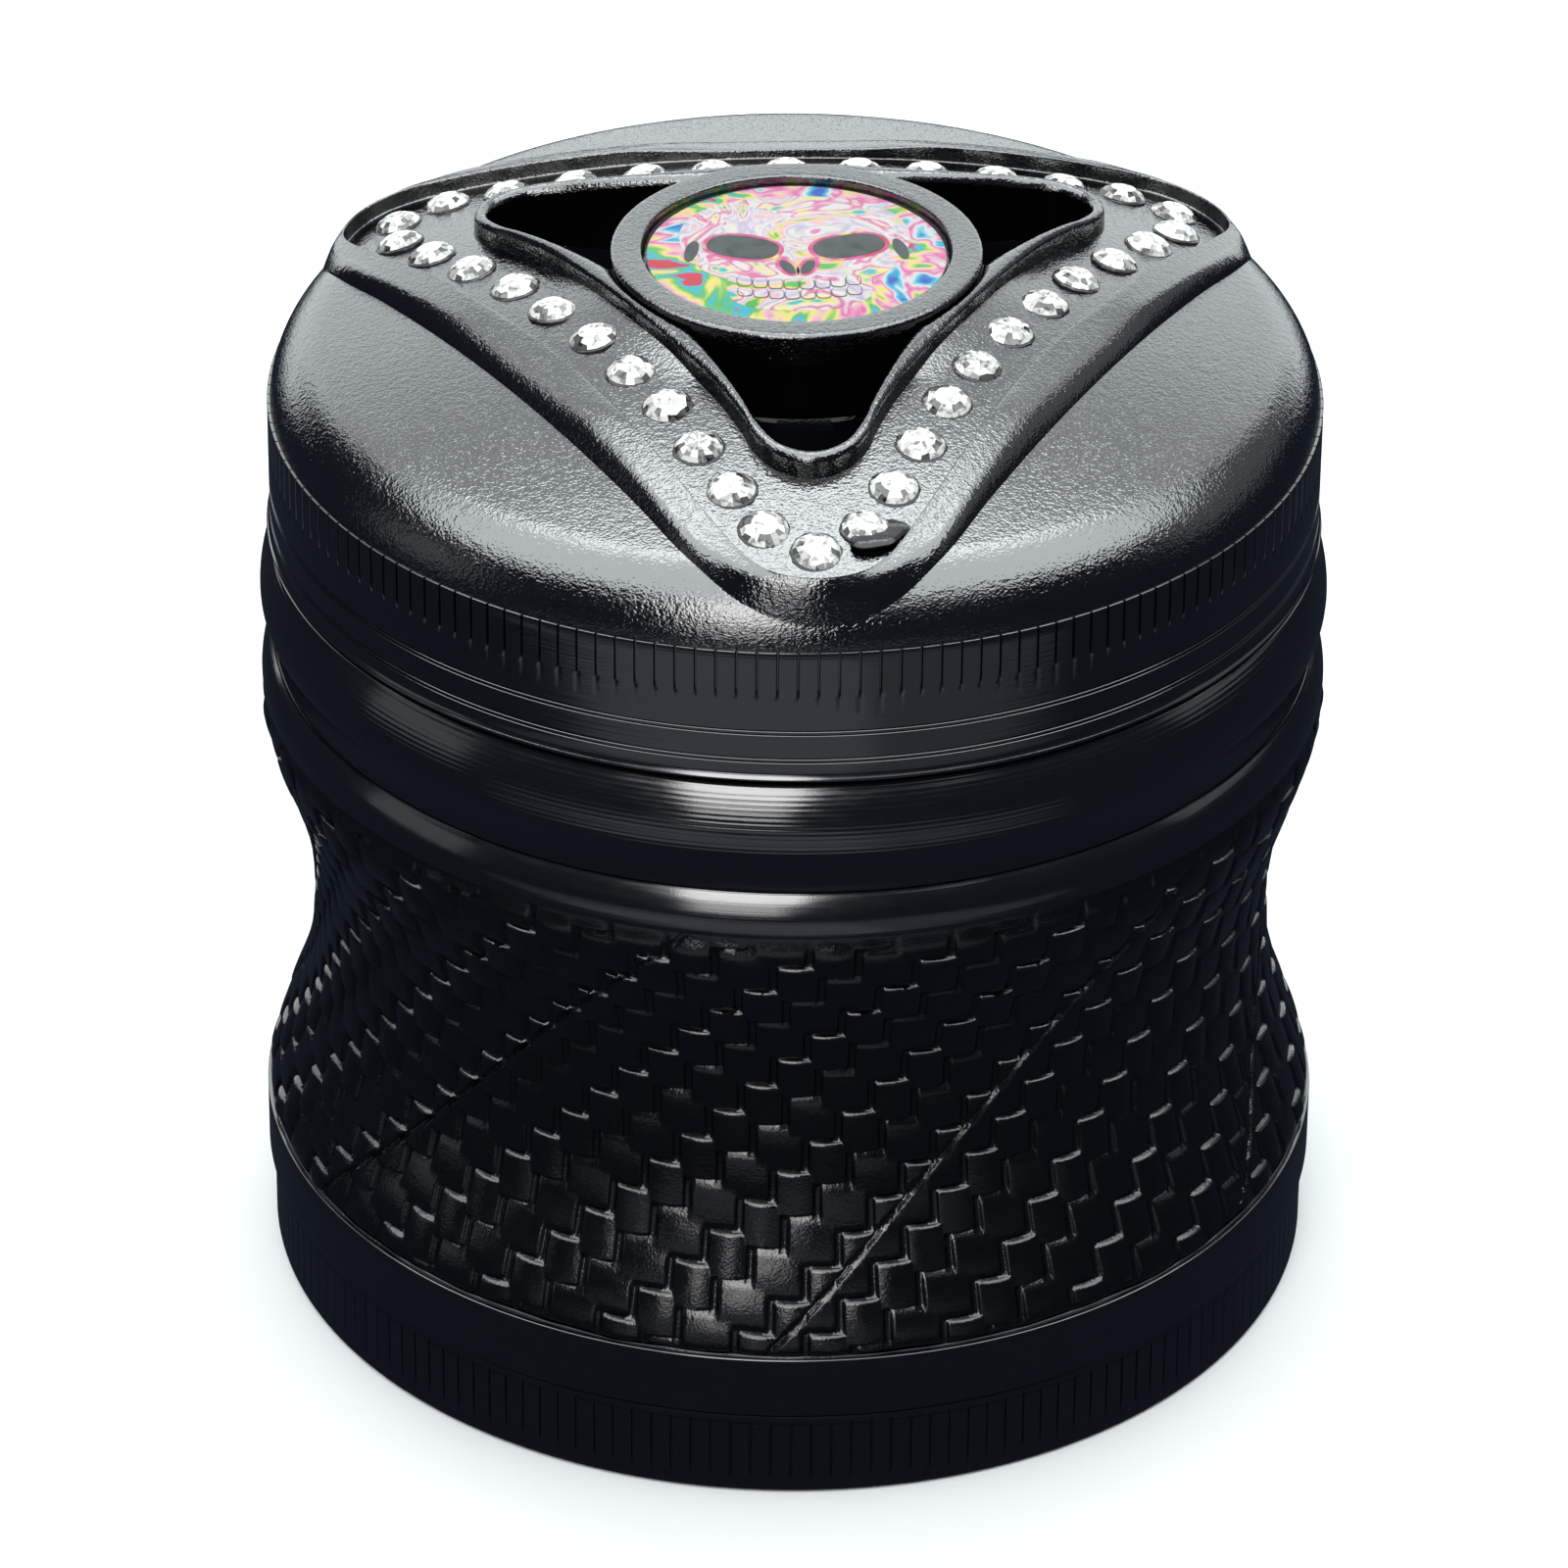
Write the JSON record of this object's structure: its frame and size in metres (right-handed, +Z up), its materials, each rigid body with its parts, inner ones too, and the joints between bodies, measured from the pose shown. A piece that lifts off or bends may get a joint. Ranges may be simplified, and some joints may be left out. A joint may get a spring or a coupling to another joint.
{
  "type": "herb grinder",
  "caption": "Stacked metal hand grinder with a waisted leather-wrapped drum, toothed lid and chamber, mesh screen, base cup and a jewelled three-armed lid.",
  "frame": {"origin": "centre of the base cup's underside", "axes": "+Z up along the common axis of the turned parts; one arm of the lid's frame points along -Y"},
  "size_m": [0.065, 0.065, 0.0673],
  "materials": {
    "cast_black": "fine textured satin black casting",
    "anodised_black": "satin black anodised turned aluminium with fine lathe lines",
    "leather_black": "glossy black embossed woven pattern",
    "crystal": "clear faceted stone with a silver foil back",
    "medallion_print": "printed multicolour swirl",
    "clear_resin": "clear domed resin",
    "magnet_nickel": "nickel-plated",
    "nylon": "natural nylon",
    "stainless": "stainless steel"
  },
  "bodies": {
    "base": {"base_cup": "anodised_black"},
    "screen_ring": {"screen_retaining_ring": "stainless"},
    "drum": {"drum_body": "anodised_black", "leather_wrap": "leather_black", "pollen_screen": "stainless"},
    "chamber_core": {"chamber_magnet": "magnet_nickel"},
    "chamber": {"grinding_chamber": "anodised_black"},
    "lid_ring": {"friction_ring": "nylon"},
    "lid": {"lid_casting": "cast_black", "lid_magnet": "magnet_nickel", "medallion_disc": "medallion_print", "medallion_dome": "clear_resin", "rhinestone_01": "crystal", "rhinestone_02": "crystal", "rhinestone_03": "crystal", "rhinestone_04": "crystal", "rhinestone_05": "crystal", "rhinestone_06": "crystal", "rhinestone_07": "crystal", "rhinestone_08": "crystal", "rhinestone_09": "crystal", "rhinestone_10": "crystal", "rhinestone_11": "crystal", "rhinestone_12": "crystal", "rhinestone_13": "crystal", "rhinestone_14": "crystal", "rhinestone_15": "crystal", "rhinestone_16": "crystal", "rhinestone_17": "crystal", "rhinestone_18": "crystal", "rhinestone_19": "crystal", "rhinestone_20": "crystal", "rhinestone_21": "crystal", "rhinestone_22": "crystal", "rhinestone_23": "crystal", "rhinestone_24": "crystal", "rhinestone_25": "crystal", "rhinestone_26": "crystal", "rhinestone_27": "crystal", "rhinestone_28": "crystal", "rhinestone_29": "crystal", "rhinestone_30": "crystal", "rhinestone_31": "crystal", "rhinestone_32": "crystal", "rhinestone_33": "crystal", "rhinestone_34": "crystal", "rhinestone_35": "crystal", "rhinestone_36": "crystal"}
  },
  "joints": [
    {"name": "drum_rise", "type": "slide", "parent": "base", "child": "screen_ring", "axis": [0, 0, 1], "range_m": [0, 0.00451]},
    {"name": "drum_unscrew", "type": "hinge", "parent": "screen_ring", "child": "drum", "pos_m": [0, 0, 0.0057], "axis": [0, 0, 1], "range_deg": [0, 810]},
    {"name": "chamber_rise", "type": "slide", "parent": "drum", "child": "chamber_core", "axis": [0, 0, 1], "range_m": [0, 0.00451]},
    {"name": "chamber_unscrew", "type": "hinge", "parent": "chamber_core", "child": "chamber", "pos_m": [0, 0, 0.0419], "axis": [0, 0, 1], "range_deg": [0, 810]},
    {"name": "lid_lift", "type": "slide", "parent": "chamber", "child": "lid_ring", "axis": [0, 0, 1], "range_m": [0, 0.03]},
    {"name": "lid_spin", "type": "hinge", "parent": "lid_ring", "child": "lid", "pos_m": [0, 0, 0.0495], "axis": [0, 0, 1], "continuous": true}
  ],
  "couplings": [
    {"joint": "drum_rise", "follows": "drum_unscrew", "m_per_rad": 0.00031831},
    {"joint": "chamber_rise", "follows": "chamber_unscrew", "m_per_rad": 0.00031831}
  ]
}
